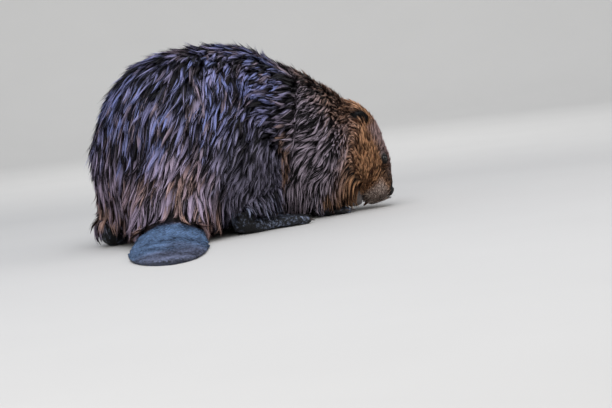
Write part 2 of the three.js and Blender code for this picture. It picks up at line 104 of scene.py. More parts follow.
def mergedCopy(nodeName):
    mesh = nodes[nodeName].data.copy()
    mesh.materials.clear()
    copy = bpy.data.objects.new(nodeName + "Copy", mesh)
    bpy.context.scene.collection.objects.link(copy)
    activate(copy)
    bpy.ops.object.mode_set(mode="EDIT")
    bpy.ops.mesh.select_all(action="SELECT")
    bpy.ops.mesh.remove_doubles(threshold=1e-6)
    bpy.ops.object.mode_set(mode="OBJECT")
    return copy


def joined(parts, name):
    deselectAll()
    for part in parts:
        part.select_set(True)
    bpy.context.view_layer.objects.active = parts[0]
    if len(parts) > 1:
        bpy.ops.object.join()
    parts[0].name = name
    parts[0].data.name = name
    return parts[0]


def smoothStep(low, high, value):
    share = np.clip((value - low) / (high - low), 0, 1)
    return share * share * (3 - 2 * share)


def fade(low, high, value):  # 1 up to low, 0 from high on
    return 1 - smoothStep(low, high, value)


def lengths(vectors):
    return np.linalg.norm(vectors, axis=-1)


def unit(vectors):
    return vectors / np.maximum(lengths(vectors)[..., None], 1e-12)


def dots(a, b):
    return (a * b).sum(-1)


def blended(a, b, share):
    share = np.asarray(share)[..., None]
    return np.asarray(a) * (1 - share) + np.asarray(b) * share


def linear(red, green, blue):  # from the 0-255 values of a colour picker
    return np.array([(c / 255) ** 2.2 for c in (red, green, blue)])


# The head's own frame

headPlan = {
    "noseTip": (0.333, -0.0488, 0.025),
    "heading": -31.0,
    "bow": 60.0,
    "gaze": (0.10, 0.86, 0.42),  # where the left eye looks, in the head's own frame
    "eyeRadius": 0.0065,
    "eyeCorner": 0.0056,  # half the length of the opening between the lids
    "eyeGape": 0.0040,
    "lid": 0.0009,
}
headTurn = Matrix.Rotation(math.radians(headPlan["heading"]), 3, "Z")
headBow = Matrix.Rotation(math.radians(headPlan["bow"]), 3, "Y")
headAxes = np.array(headTurn @ headBow)


def inHead(points):  # x out of the nose, y to the left, z out of the brow, in metres
    return (points - np.array(headPlan["noseTip"])) @ headAxes


def fromHead(points):
    return np.asarray(points) @ headAxes.T + np.array(headPlan["noseTip"])


def eyeCentre(side):
    low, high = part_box("eye_" + side)
    return np.array((low + high) / 2)


def eyeGaze(side):
    ahead, out, up = headPlan["gaze"]
    return unit(headAxes @ np.array([ahead, -out if side == "right" else out, up]))


def eyeDistance(points):
    return np.minimum(*(lengths(points - eyeCentre(side)) for side in sides))


# The skin

# How deep the coat lies over the skin of each part, in metres.
coatDepth = {
    "trunk": 0.0115, "neck": 0.010, "tail_base": 0.009, "tail_paddle": 0.0, "head": 0.0042,
    "lower_jaw": 0.0035, "nose": 0.0, "ear": 0.0006, "thigh": 0.010, "shank": 0.003, "hind_foot": 0.0,
    "upper_arm": 0.009, "forearm": 0.003, "fore_paw": 0.0,
}
partKinds = list(coatDepth)
sides = ("right", "left")
fleshNodes = [name for name in nodes if any(name.startswith(kind) for kind in partKinds)]

skinPlan = {
    "overlap": 0.0007,  # each part swells by this much, so that they melt together
    "voxel": 0.0031,
    "smoothing": 3,
    "furRelax": 11,  # rounds of smoothing under the long coat
    "blend": 7,  # how softly one part's finish runs into the next
    "faceBlend": 64,
    "eyeArea": 0.015,
    "noseArea": 0.021,
}


def meltFlesh():
    copies = []
    for name in fleshNodes + ["eye_right", "eye_left"]:
        copies.append(mergedCopy(name))
        bpy.ops.object.mode_set(mode="EDIT")
        bpy.ops.mesh.select_all(action="SELECT")
        bpy.ops.transform.shrink_fatten(value=skinPlan["overlap"])
        bpy.ops.object.mode_set(mode="OBJECT")
    skin = joined(copies, "skin")
    applyModifier(skin, "melt", "REMESH", mode="VOXEL", voxel_size=skinPlan["voxel"])
    applyModifier(skin, "even", "SMOOTH", factor=0.5, iterations=skinPlan["smoothing"])
    return skin


def refineAround(obj, centres, reach, cuts):
    points = fieldOf(obj.data.vertices, "co", 3)
    near = np.zeros(len(points), bool)
    for centre in centres:
        near |= lengths(points - centre) < reach
    activate(obj)
    bpy.ops.object.mode_set(mode="EDIT")
    bpy.ops.mesh.select_mode(type="VERT")
    bpy.ops.mesh.select_all(action="DESELECT")
    bpy.ops.object.mode_set(mode="OBJECT")
    obj.data.vertices.foreach_set("select", near)
    bpy.ops.object.mode_set(mode="EDIT")
    bpy.ops.mesh.subdivide(number_cuts=cuts, smoothness=1.0)
    bpy.ops.mesh.select_all(action="SELECT")
    bpy.ops.mesh.quads_convert_to_tris()
    bpy.ops.object.mode_set(mode="OBJECT")


def fieldOf(items, field, width, kind=float):
    values = np.empty(len(items) * width, kind)
    items.foreach_get(field, values)
    return values.reshape(-1, width)


def spread(values, edges, rounds, hold=None):  # each value runs into its neighbours'
    count = len(values)
    ends = np.concatenate([edges[:, 0], edges[:, 1]])
    others = np.concatenate([edges[:, 1], edges[:, 0]])
    degree = np.maximum(np.bincount(ends, minlength=count), 1)[:, None]
    flat = values.reshape(count, -1).astype(float)
    keep = 0.4 if hold is None else 0.4 + 0.6 * hold[:, None]
    for _ in range(rounds):
        sums = [np.bincount(ends, weights=flat[others, i], minlength=count) for i in range(flat.shape[1])]
        flat = flat * keep + (1 - keep) * np.stack(sums, 1) / degree
    return flat.reshape(values.shape)


def partShares(points, edges):
    corners, faces, kinds = [], [], []
    for name in fleshNodes:
        mesh = nodes[name].data
        start = len(corners)
        corners += [v.co.copy() for v in mesh.vertices]
        faces += [[start + i for i in face.vertices] for face in mesh.polygons]
        kind = next(i for i, kind in enumerate(partKinds) if name.startswith(kind))
        kinds += [kind] * len(mesh.polygons)
    tree = BVHTree.FromPolygons(corners, faces)
    nearest = np.array([kinds[tree.find_nearest(Vector(p))[2]] for p in points])
    shares = spread(np.eye(len(partKinds))[nearest], edges, skinPlan["blend"])
    return {kind: shares[:, i] for i, kind in enumerate(partKinds)}


skin = meltFlesh()
refineAround(skin, [eyeCentre(side) for side in sides], skinPlan["eyeArea"], 3)
refineAround(skin, [fromHead([(-0.010, 0, -0.014)])[0]], skinPlan["noseArea"], 1)
points = fieldOf(skin.data.vertices, "co", 3)
edges = fieldOf(skin.data.edges, "vertices", 2, int)
shares = partShares(points, edges)
faceParts = np.clip(sum(shares[kind] for kind in ("head", "lower_jaw", "nose", "ear")), 0, 1)
shares["face"] = spread(faceParts, edges, skinPlan["faceBlend"])
print("skin melted:", len(points), "points")

# The long crease where the flank's coat meets the shoulder's: its x at each height.
crease = {
    "heights": (0.050, 0.088, 0.129, 0.167, 0.199, 0.241),
    "places": (0.106, 0.107, 0.116, 0.122, 0.136, 0.172),
    "halfWidth": 0.010,
    "depth": 0.009,
}


def behindCrease(points):
    return np.interp(points[:, 2], crease["heights"], crease["places"]) - points[:, 0]


def creaseShare(points):
    heights = points[:, 2]
    width = crease["halfWidth"]
    band = np.exp(-(behindCrease(points) / width) ** 2)
    return band * smoothStep(0.03, 0.07, heights) * fade(0.22, 0.262, heights)


def lieDepth(points, shares):
    depth = sum(shares[kind] * coatDepth[kind] for kind in partKinds)
    local = inHead(points)
    depth *= 1 - 0.7 * smoothStep(-0.040, -0.020, local[:, 0]) * (shares["head"] + shares["lower_jaw"])
    return depth * smoothStep(0.008, 0.017, eyeDistance(points))


def shapeSkin():
    furred = np.clip(sum(shares[kind] * (coatDepth[kind] > 0.008) for kind in partKinds), 0, 1)
    relaxed = spread(points, edges, skinPlan["furRelax"], hold=1 - furred)
    skin.data.vertices.foreach_set("co", relaxed.ravel())
    skin.data.update()
    normals = unit(spread(fieldOf(skin.data.vertices, "normal", 3), edges, 4))
    depth = lieDepth(relaxed, shares)
    lowered = relaxed - normals * (depth + crease["depth"] * creaseShare(relaxed) * furred)[:, None]
    return lowered, depth


def shapeEye(placed, side):
    gaze = eyeGaze(side)
    long = unit(headAxes[:, 0] - gaze * (headAxes[:, 0] @ gaze))
    away = placed - eyeCentre(side)
    u, w, out = away @ long, away @ np.cross(gaze, long), away @ gaze
    ring = np.hypot(u / headPlan["eyeCorner"], w / headPlan["eyeGape"])
    ball = np.sqrt(np.maximum(headPlan["eyeRadius"] ** 2 - u * u - w * w, 0))
    near = (lengths(away) < skinPlan["eyeArea"]) & (out > -0.004)
    lidded = ball + headPlan["lid"] * (1 + 0.5 * np.exp(-((ring - 1.35) / 0.25) ** 2))
    lidShare = fade(1.25, 2.3, ring)
    fold = -0.0007 * np.exp(-((ring - 1.95) / 0.16) ** 2)
    target = out * (1 - lidShare) + np.maximum(out, lidded) * lidShare + fold
    target = np.where(ring < 1, np.minimum(out, -0.002 + 0.004 * ring), target)
    placed[near] += (gaze * (target - out)[:, None])[near]
    return placed


nosePlan = {
    "nostril": (-0.004, 0.0072, -0.0135),
    "opening": (0.0075, 0.0034, 0.0038),
    "dent": 0.0045,
    "rim": 0.0008,
    "groove": 0.0014,
    "grooveWidth": 0.0012,
}


def shapeNose(placed):
    local = inHead(placed)
    for sign in (-1, 1):
        hole = np.array(nosePlan["nostril"]) * [1, sign, 1]
        apart = (local - hole) / np.array(nosePlan["opening"])
        local[:, 0] -= nosePlan["dent"] * np.exp(-dots(apart, apart) * 1.2)
        local[:, 0] += nosePlan["rim"] * np.exp(-((lengths(apart) - 1.5) / 0.4) ** 2)
    groove = np.exp(-(local[:, 1] / nosePlan["grooveWidth"]) ** 2) * smoothStep(-0.040, -0.030, local[:, 2])
    groove = nosePlan["groove"] * groove * fade(-0.016, -0.012, local[:, 2])
    local[:, 0] -= groove * smoothStep(-0.03, -0.02, local[:, 0])
    return fromHead(local)


points, depth = shapeSkin()
for side in sides:
    points = shapeEye(points, side)
points = shapeNose(points)
points[:, 2] = np.maximum(points[:, 2], 0.0)
skin.data.vertices.foreach_set("co", points.ravel())
skin.data.update()
activate(skin)
bpy.ops.object.shade_smooth()
normals = fieldOf(skin.data.vertices, "normal", 3)
print("skin shaped")


# The animal's markings and painted light and shade, shared by skin and coat

# Each finish: the dark of its hair, the light of its hair, and how much of the hair is light.
# The lavender and blue light of back, cap and shoulder is a painted sky reflection on wet hair; rump and
# flank light is partly that, partly own colour
hairTones = {
    "back": (linear(16, 12, 18), linear(150, 148, 192), 0.35),
    # painted reflection of the sky: bluer light strands on the upper body
    "paintedSheen": (linear(13, 13, 26), linear(132, 144, 204), 0.46),
    "umber": (linear(20, 13, 12), linear(152, 132, 138), 0.33),
    "cap": (linear(15, 13, 20), linear(106, 104, 140), 0.30),
    "rump": (linear(24, 18, 22), linear(174, 156, 178), 0.50),
    "tan": (linear(34, 23, 19), linear(184, 146, 126), 0.46),
    "shoulder": (linear(12, 8, 9), linear(184, 168, 182), 0.34),
    "nape": (linear(26, 16, 13), linear(178, 144, 128), 0.40),
    "flank": (linear(24, 22, 29), linear(130, 124, 144), 0.44),
    "seam": (linear(30, 20, 16), linear(176, 138, 116), 0.46),
    "belly": (linear(26, 18, 15), linear(146, 106, 78), 0.42),
    "cheek": (linear(68, 41, 26), linear(212, 158, 116), 0.49),
    "brow": (linear(58, 42, 40), linear(184, 154, 150), 0.56),
    "bridge": (linear(40, 28, 23), linear(138, 108, 90), 0.45),
    "throat": (linear(34, 22, 16), linear(152, 114, 84), 0.38),
    "muzzle": (linear(132, 114, 106), linear(204, 184, 172), 0.50),
    # mouth: near-black, painted shade of the mouth's gap
    "mouth": (linear(6, 5, 6), linear(24, 18, 18), 0.20),
    # chin: its own grey, painted paler still to look lit under the shaded jaw
    "chin": (linear(150, 142, 142), linear(204, 196, 194), 0.50),
    "ear": (linear(4, 4, 5), linear(30, 27, 32), 0.12),
    # foot: the blue-grey light tone is a painted highlight on the dark slate skin
    "foot": (linear(13, 13, 18), linear(156, 168, 198), 0.30),
    "tail": (linear(14, 25, 41), linear(96, 121, 156), 0.40),
    "tailTip": (linear(22, 24, 35), linear(102, 108, 132), 0.40),
    "nose": (linear(6, 6, 7), linear(24, 22, 24), 0.20),
    "lid": (linear(8, 7, 7), linear(28, 22, 21), 0.20),
}


def noiseAt(points, size, seed):
    shift = Vector((seed * 7.3, seed * 3.1, seed * 5.7))
    return np.array([noise.noise(Vector(p) / size + shift) for p in points])


def throatShare(points, shares):
    local = inHead(points)
    share = shares["face"] * fade(-0.052, -0.044, local[:, 0]) * fade(-0.058, -0.040, local[:, 2])
    return np.clip(share + shares["neck"] * fade(0.050, 0.085, points[:, 2]), 0, 1)


def chinShare(points):  # the bare lump under the lower teeth
    local = inHead(points)
    return smoothStep(-0.046, -0.039, local[:, 0]) * fade(-0.058, -0.050, local[:, 2])


def finishShares(points, shares):
    local = inHead(points)
    long, high = local[:, 0], local[:, 2]
    x, y, z = points.T
    head = shares["face"]
    blotch = noiseAt(points, 0.045, 1)
    wisp = noiseAt(points, 0.016, 4)
    low = fade(0.125, 0.205, z + 0.04 * blotch + 0.02 * wisp)
    rear = fade(-0.085, -0.035, x + 0.02 * wisp)
    haunch = smoothStep(-0.07, -0.01, x) * fade(0.17, 0.22, z)
    behind = behindCrease(points)
    ahead = smoothStep(-0.012, 0.012, -behind)
    nose = lengths(local - [-0.006, 0, -0.012])
    mouth = lengths(np.stack([long, np.abs(local[:, 1]), high], 1) - [-0.027, 0.018, -0.058])
    nape = smoothStep(0.170, 0.225, x) * smoothStep(0.145, 0.195, z)
    feet = shares["hind_foot"] + shares["fore_paw"]
    return [
        # painted reflection of the sky on the upper body, kept off the haunch
        ("paintedSheen", 0.70 * smoothStep(-0.15, 0.20, wisp) * smoothStep(0.12, 0.17, z) * (1 - haunch)),
        ("umber", 0.85 * smoothStep(0.02, 0.25, noiseAt(points, 0.013, 6))),
        ("cap", smoothStep(0.268, 0.290, z + 0.01 * wisp) * fade(-0.05, -0.02, x)),
        ("rump", low * rear),
        ("tan", 0.85 * low * rear * smoothStep(0.0, 0.30, blotch + 0.5 * wisp - 2.2 * (z - 0.110))),
        ("shoulder", ahead),
        ("nape", nape + shares["neck"] * smoothStep(0.13, 0.17, z)),
        ("flank", fade(0.145, 0.205, z + 0.02 * wisp) * (1 - rear) * (1 - ahead)),
        ("seam", fade(0.004, 0.014, np.abs(behind - 0.006)) * fade(0.13, 0.19, z) * (y < 0)),
        ("belly", fade(0.020, 0.045, z) * (1 - shares["hind_foot"]) * (1 - shares["fore_paw"])),
        ("cheek", head),
        ("throat", head * smoothStep(0.040, 0.060, -high) * smoothStep(0.040, 0.052, -long)),
        ("throat", shares["neck"] * fade(0.05, 0.09, z)),
        ("bridge", head * smoothStep(-0.062, -0.045, long) * smoothStep(-0.018, -0.002, high)),
        ("brow", head * smoothStep(-0.002, 0.014, high) * smoothStep(-0.124, -0.104, long)),
        ("muzzle", head * smoothStep(-0.040, -0.022, long) * fade(-0.022, -0.008, high)),
        # painted shade: a near-black spot at each corner of the mouth
        ("mouth", fade(0.006, 0.014, mouth)),
        # partly painted light: the chin's grey is raised so it looks lit under the jaw
        ("chin", head * chinShare(points)),
        ("ear", smoothStep(0.12, 0.40, shares["ear"])),
        ("foot", feet + 0.8 * shares["shank"] + 0.8 * shares["forearm"]),
        ("tail", shares["tail_paddle"]),
        ("tailTip", shares["tail_paddle"] * smoothStep(0.0, 0.10, -0.10 - y + 0.03 * blotch)),
        ("nose", shares["nose"] * smoothStep(0.25, 0.6, shares["nose"]) + fade(0.0130, 0.0155, nose)),
        ("lid", fade(0.0088, 0.0120, eyeDistance(points))),
    ]


# lays the markings together with the painted sky reflections and painted shade of the finishes
def markingsAndPaintedLight(points, shares):
    deep, bright, light = (np.repeat(np.atleast_2d(v), len(points), 0) for v in hairTones["back"])
    for finish, share in finishShares(points, shares):
        share = np.clip(share, 0, 1)
        deep = blended(deep, hairTones[finish][0], share)
        bright = blended(bright, hairTones[finish][1], share)
        light = blended(light, np.array([hairTones[finish][2]]), share)
    return deep, bright, light[:, 0]


deep, bright, light = markingsAndPaintedLight(points, shares)


def setColour(mesh, name, values):
    layer = mesh.attributes.new(name, "FLOAT_COLOR", "POINT")
    opaque = np.hstack([values, np.ones((len(values), 1))])
    layer.data.foreach_set("color", opaque.astype(np.float32).ravel())


def setNumber(mesh, name, values):
    layer = mesh.attributes.new(name, "FLOAT", "POINT")
    layer.data.foreach_set("value", np.asarray(values, np.float32).ravel())


def setUv(mesh, values):
    layer = mesh.uv_layers.new(name="OFBake")
    layer.data.foreach_set("uv", values.astype(np.float32).ravel())


setColour(skin.data, "deep", deep)
setColour(skin.data, "bright", bright)
setNumber(skin.data, "hairless", shares["hind_foot"] + shares["fore_paw"])
setNumber(skin.data, "scaly", shares["tail_paddle"])
setNumber(skin.data, "face", np.clip(shares["head"] + shares["lower_jaw"], 0, 1))
setNumber(skin.data, "leather", np.clip(shares["nose"] + 0.5 * shares["ear"], 0, 1))
print("markings laid")


# The lie of the coat

scales = {
    "root": (-0.156, -0.035),
    "heading": 225.0,
    "length": 0.275,
    "halfWidth": 0.075,
    "across": 0.0042,
    "along": 0.0029,
    "before": 0.020,  # how far before the root the first row lies
    "wave": 0.0016,  # how far a row wanders
    "bow": 0.012,  # and how far it curves as a whole
    "shift": 0.0005,  # how far a scale strays along its row
    "height": 0.0006,
    "sunk": 0.0002,
    "top": 0.70,  # how wide the top and the foot of a scale are, as shares of its place
    "foot": 0.98,
}

lie = {
    "neckHeading": -31.0,
    "tailHeading": 225.0,
    "creaseFall": 2.0,  # how far below level the hair points, in degrees, just behind the crease
    "haunchFall": 62.0,
    "lowFall": 56.0,
    "thighFall": 44.0,
    "shoulderFall": 24.0,
    "sway": 16.0,  # slow wander of the lie
}


def lieOfCoat(points, normals, shares):
    x, _, z = points.T
    heading = np.radians(lie["neckHeading"]) * smoothStep(0.10, 0.26, x)
    backward = np.stack([-np.cos(heading), -np.sin(heading), np.zeros_like(x)], 1)
    behind = behindCrease(points)
    fall = lie["creaseFall"] + (lie["haunchFall"] - lie["creaseFall"]) * smoothStep(0.045, 0.21, behind)
    haunch = smoothStep(-0.08, -0.02, x) * fade(0.15, 0.20, z)
    ahead = smoothStep(-0.01, 0.01, -behind)
    fall = fall * (1 - ahead) + lie["shoulderFall"] * ahead
    lowShare = fade(0.095, 0.150, z)
    lowFall = lie["lowFall"] + (lie["thighFall"] - lie["lowFall"]) * haunch
    fall = np.radians(fall * (1 - lowShare) + np.maximum(fall * (1 - 0.5 * haunch), lowFall) * lowShare)
    down = np.array([0, 0, -1.0])
    flow = backward * np.cos(fall)[:, None] + down * np.sin(fall)[:, None]
    tail = math.radians(lie["tailHeading"])
    toTail = np.array([math.cos(tail), math.sin(tail), -0.45])
    flow = blended(flow, toTail, 0.75 * shares["tail_base"] * fade(0.04, 0.10, z) + shares["tail_paddle"])
    head = shares["face"]
    flow = blended(flow, -headAxes[:, 0] + 0.25 * headAxes[:, 2], smoothStep(0.25, 0.95, head))
    flow = blended(flow, backward * 0.5 + down, throatShare(points, shares))
    limb = shares["forearm"] + shares["shank"] + shares["fore_paw"] + shares["hind_foot"]
    flow = blended(flow, backward * -0.3 + down, np.clip(limb, 0, 1))
    flow = unit(flow - normals * dots(flow, normals)[:, None])
    flow = spread(flow, edges, 6)
    flow = unit(flow - normals * dots(flow, normals)[:, None])
    sway = np.radians(lie["sway"]) * (noiseAt(points, 0.05, 2) + 0.7 * noiseAt(points, 0.02, 3))
    sway *= 1 + 1.0 * ahead * (1 - head)
    across = np.cross(normals, flow)
    return unit(flow * np.cos(sway)[:, None] + across * np.sin(sway)[:, None])


lockPitch = {  # how far apart the locks stand on each part
    "trunk": 0.0082, "thigh": 0.0082, "tail_base": 0.0082, "neck": 0.0058, "upper_arm": 0.0052,
    "forearm": 0.0034, "shank": 0.0034, "head": 0.0032, "lower_jaw": 0.0032, "ear": 0.0024,
    "nose": 0.0024, "hind_foot": 0.0034, "fore_paw": 0.0034, "tail_paddle": 0.0034,
}


def pitchOfCoat(points, shares):
    x, _, z = points.T
    value = sum(shares[kind] * lockPitch[kind] for kind in partKinds)
    ahead = smoothStep(-0.01, 0.03, -behindCrease(points))
    sleek = fade(0.10, 0.15, z) * smoothStep(-0.06, -0.03, x)
    value = np.where(value > 0.0056, value - 0.0020 * ahead - 0.0022 * sleek * (1 - ahead), value)
    value = np.where(throatShare(points, shares) > 0.3, lockPitch["neck"], value)
    lip = smoothStep(-0.042, -0.030, inHead(points)[:, 0])
    fine = np.maximum(lip, fade(0.012, 0.022, eyeDistance(points)))
    head = np.clip(shares["head"] + shares["lower_jaw"], 0, 1)
    return value - (value - lockPitch["nose"]) * fine * head


def grows(points, shares):
    bare = 1.6 * (shares["hind_foot"] + shares["fore_paw"])
    bare += 2.2 * shares["tail_paddle"] + 1.4 * shares["nose"] + chinShare(points)
    tail = math.radians(lie["tailHeading"])
    toTip = (points - [*scales["root"], 0]) @ [math.cos(tail), math.sin(tail), 0]
    bare += smoothStep(-0.019, -0.010, toTip) * fade(0.070, 0.085, points[:, 2])
    return bare + fade(0.0105, 0.0115, eyeDistance(points)) < 0.45


flow = lieOfCoat(points, normals, shares)
pitch = pitchOfCoat(points, shares)
haired = grows(points, shares)


def unwrapSkin():
    activate(skin)
    bpy.ops.object.mode_set(mode="EDIT")
    bpy.ops.mesh.select_all(action="SELECT")
    bpy.ops.uv.smart_project(angle_limit=math.radians(66), island_margin=0.002)
    bpy.ops.object.mode_set(mode="OBJECT")
    skin.data.uv_layers.active.name = "OFBake"
    skin.data.calc_loop_triangles()
    corners = fieldOf(skin.data.loop_triangles, "vertices", 3, int)
    loops = fieldOf(skin.data.loop_triangles, "loops", 3, int)
    uv = fieldOf(skin.data.uv_layers["OFBake"].data, "uv", 2)
    return corners, uv[loops].mean(1)


triangles, triangleUv = unwrapSkin()
tree = BVHTree.FromPolygons([Vector(p) for p in points], triangles.tolist())
onPoint = {
    "normal": unit(spread(normals, edges, 3)),
    "flow": flow,
    "deep": deep,
    "bright": bright,
    "light": light,
    "depth": depth,
    "pitch": pitch,
    "haired": haired,
    "paddle": shares["tail_paddle"],
    "drape": smoothStep(0.12, 0.40, shares["tail_base"]) * fade(0.08, 0.11, points[:, 2]),
}
onTriangle = {name: values[triangles].mean(1) for name, values in onPoint.items()}
onTriangle["normal"] = unit(onTriangle["normal"])
print("skin unwrapped:", len(triangles), "triangles")


# The coat

patch = {"size": 0.003, "step": 0.004, "perRow": 4}  # each hair's own place on the unwrapped skin
floorGap = 0.0012  # hair and whiskers stop this far above the floor
mostTriangles = 190000  # in one piece of coat
# Each kind of lock grows where the pitch of the coat is over its "above", and under the next one's.
coatRules = {
    "coatFuzz": {
        "above": 0.0, "pitch": 0.0022, "length": 0.0085, "strands": 4, "halfWidth": 0.00034,
        "steps": 3, "stray": 10, "curl": 0, "crown": 0.0003, "gather": 0.2, "fray": 0.1, "roll": 30,
        "rise": (0.8, 1.3), "stand": 0.0004, "tuck": 0.0, "taper": (0.8, 1.0, 0.75, 0.0), "core": False,
    },
    "coatShort": {
        "above": 0.0029, "pitch": 0.0036, "length": 0.0180, "strands": 6, "halfWidth": 0.00036,
        "steps": 5, "stray": 9, "curl": 4, "crown": 0.0006, "gather": 0.45, "fray": 0.1, "roll": 30,
        "rise": (0.7, 1.2), "stand": 0.0012, "tuck": 0.0, "taper": (0.8, 1.0, 0.75, 0.0), "core": False,
    },
    "coatSleek": {
        "above": 0.0045, "pitch": 0.0060, "length": 0.038, "strands": 11, "halfWidth": 0.00038,
        "steps": 8, "stray": 8, "curl": 11, "crown": 0.0020, "gather": 0.95, "fray": 0.05, "roll": 26,
        "rise": (0.6, 0.95), "stand": 0.0030, "tuck": 0.0, "taper": (0.75, 1.0, 0.95, 0.62, 0.0),
        "core": True,
    },
    "coatLong": {
        "above": 0.0068, "pitch": 0.0098, "length": 0.058, "strands": 18, "halfWidth": 0.00050,
        "steps": 10, "stray": 7, "curl": 8, "crown": 0.0036, "gather": 0.97, "fray": 0.05, "roll": 26,
        "rise": (0.6, 0.95), "stand": 0.0038, "tuck": 0.6, "taper": (0.75, 1.0, 0.95, 0.62, 0.0),
        "core": True,
    },
}
comb = {
    "inertia": 0.35,  # how much of its last direction a lock keeps at each step
    "level": 0.45,  # the same for the side it turns up
    "sag": -0.40,  # how fast a hanging lock turns down
    "drapeLift": 0.28,  # how much of that a draped lock is spared
    "rest": 0.002,  # a hanging lock rests this far off what it meets
    "floor": 0.012,  # below this height locks don't hang
    "root": 0.0012,  # how deep a hair starts in the skin
}


def scatter(chosen, pitch, tries=6):
    corners = points[triangles[chosen]]
    areas = lengths(np.cross(corners[:, 1] - corners[:, 0], corners[:, 2] - corners[:, 0])) / 2
    count = int(areas.sum() / pitch ** 2 * tries)
    picks = rng.choice(len(chosen), count, p=areas / areas.sum())
    a, b = rng.random((2, count, 1))
    over = a + b > 1
    a, b = np.where(over, 1 - a, a), np.where(over, 1 - b, b)
    places = corners[picks, 0] * (1 - a - b) + corners[picks, 1] * a + corners[picks, 2] * b
    _, first = np.unique(np.floor(places / pitch).astype(int), axis=0, return_index=True)
    return places[first], chosen[picks[first]]


def onSkin(places):
    found = [tree.find_nearest(Vector(p)) for p in places]
    return np.array([f[0] for f in found]), np.array([f[2] for f in found])


def combed(roots, faces, rule):  # each lock's line over the skin, from its root to its tip
    count, steps = len(roots), rule["steps"]
    step = (rule["length"] * rng.uniform(0.75, 1.25, count) / steps)[:, None]
    stray = np.radians(rng.normal(0, rule["stray"], count))
    phase = rng.uniform(0, 2 * np.pi, count)
    line = {key: np.empty((count, steps + 1, 3)) for key in ("at", "normal", "heading")}
    line["rise"] = rng.uniform(*rule["rise"], count)
    line["stand"] = np.minimum(rng.exponential(rule["stand"], count), 3.2 * rule["stand"])
    step *= 1 - rule["tuck"] * smoothStep(0.1, 0.6, -onTriangle["normal"][faces][:, 2:])
    at, hanging = roots, onTriangle["drape"][faces]
    sag = np.zeros((count, 3))
    sag[:, 2] = comb["drapeLift"] * hanging + comb["sag"]
    heading = None
    for k in range(steps + 1):
        normal, lay = onTriangle["normal"][faces], onTriangle["flow"][faces]
        lay = unit(lay - normal * dots(lay, normal)[:, None])
        turn = stray + np.radians(rule["curl"]) * np.sin(phase + 4.5 * k / steps)
        laid = lay * np.cos(turn)[:, None] + np.cross(normal, lay) * np.sin(turn)[:, None]
        if heading is not None:
            held = np.maximum(comb["level"], 0.8 * hanging)
            normal = unit(blended(normal, line["normal"][:, k - 1], held))
            laid = unit(blended(laid, heading, comb["inertia"]))
            laid = unit(blended(laid, unit(heading + sag), hanging))
        heading = laid
        line["at"][:, k], line["normal"][:, k], line["heading"][:, k] = at, normal, heading
        ahead = at + heading * step
        nearest, faces = onSkin(ahead)
        stalled = lengths(nearest - at) < 0.5 * step[:, 0]
        outward = onTriangle["normal"][faces]
        under = smoothStep(0.20, 0.55, -outward[:, 2])
        hanging = np.maximum.reduce([hanging, under, 1.0 * stalled]) * (ahead[:, 2] > comb["floor"])
        short = np.maximum(0, comb["rest"] - dots(ahead - nearest, outward))
        inward = np.minimum(0, dots(heading, outward)) * (short > 0) * hanging
        heading = unit(heading - outward * inward[:, None])
        at = blended(nearest, ahead + outward * short[:, None], hanging)
    return line


def lineAt(line, share):  # points and directions at shares of each lock's length
    steps = line["at"].shape[1] - 1
    place = np.clip(share, 0, 1) * steps
    low = np.minimum(place.astype(int), steps - 1)
    part = (place - low)[..., None]
    lock = np.arange(len(share)).reshape(-1, *([1] * (share.ndim - 1)))
    at, normal, heading = (
        line[key][lock, low] * (1 - part) + line[key][lock, low + 1] * part
        for key in ("at", "normal", "heading")
    )
    beyond = (share - np.clip(share, 0, 1))[..., None]
    length = lengths(line["at"][:, -1] - line["at"][:, 0]).reshape(lock.shape)[..., None]
    return at + heading * beyond * length, unit(normal), unit(heading)


def gathered(share, rule):  # how far a lock has closed towards its tip
    return 1 - rule["gather"] * np.clip((share - 0.12) / 0.88, 0, 1) ** 1.15


def grownStrands(line, faces, rule):
    count, strands = len(faces), rule["strands"]
    lane = (np.arange(strands) + 0.5) / strands * 2 - 1
    lane = lane[None, :] + rng.uniform(-0.6, 0.6, (count, strands)) / strands
    start = rng.uniform(-0.02, 0.30, (count, strands))
    end = rng.uniform(0.80, 1.04, (count, strands)) - 0.16 * lane ** 2
    share = start[..., None] + (end - start)[..., None] * np.linspace(0, 1, len(rule["taper"]))
    at, normal, heading = lineAt(line, share)
    side = np.cross(normal, heading)
    halfLock = rule["pitch"] * 0.64 * rng.uniform(0.75, 1.2, (count, 1, 1))
    fray = rng.normal(0, rule["fray"], (count, strands, 1)) * smoothStep(0.5, 1, share)
    lateral = (lane[..., None] * gathered(share, rule) + fray) * halfLock
    rise = onTriangle["depth"][faces][:, None, None] * line["rise"][:, None, None]
    lift = rise * (0.06 + 0.94 * np.clip(share, 0, 1) ** 0.75) - comb["root"] * (share < 0.12)
    stand = line["stand"][:, None, None] * rng.uniform(0.6, 1.3, (count, strands, 1))
    lift = lift + stand * np.clip(share, 0, 1) ** 3
    crown = rule["crown"] * (1 - lane[..., None] ** 2) * smoothStep(0.0, 0.3, share)
    lift = lift + crown + rng.normal(0, 0.12, (count, strands, 1)) * rule["crown"]
    middle = at + side * lateral[..., None] + normal * lift[..., None]
    roll = np.radians(rng.normal(0, rule["roll"], (count, strands, 1)) - 25 * lane[..., None])
    across = side * np.cos(roll)[..., None] + normal * np.sin(roll)[..., None]
    half = rule["halfWidth"] * rng.uniform(0.7, 1.25, (count, strands, 1)) * np.array(rule["taper"])
    return [middle - across * half[..., None], middle + across * half[..., None]], share, lane


coreStations = 7


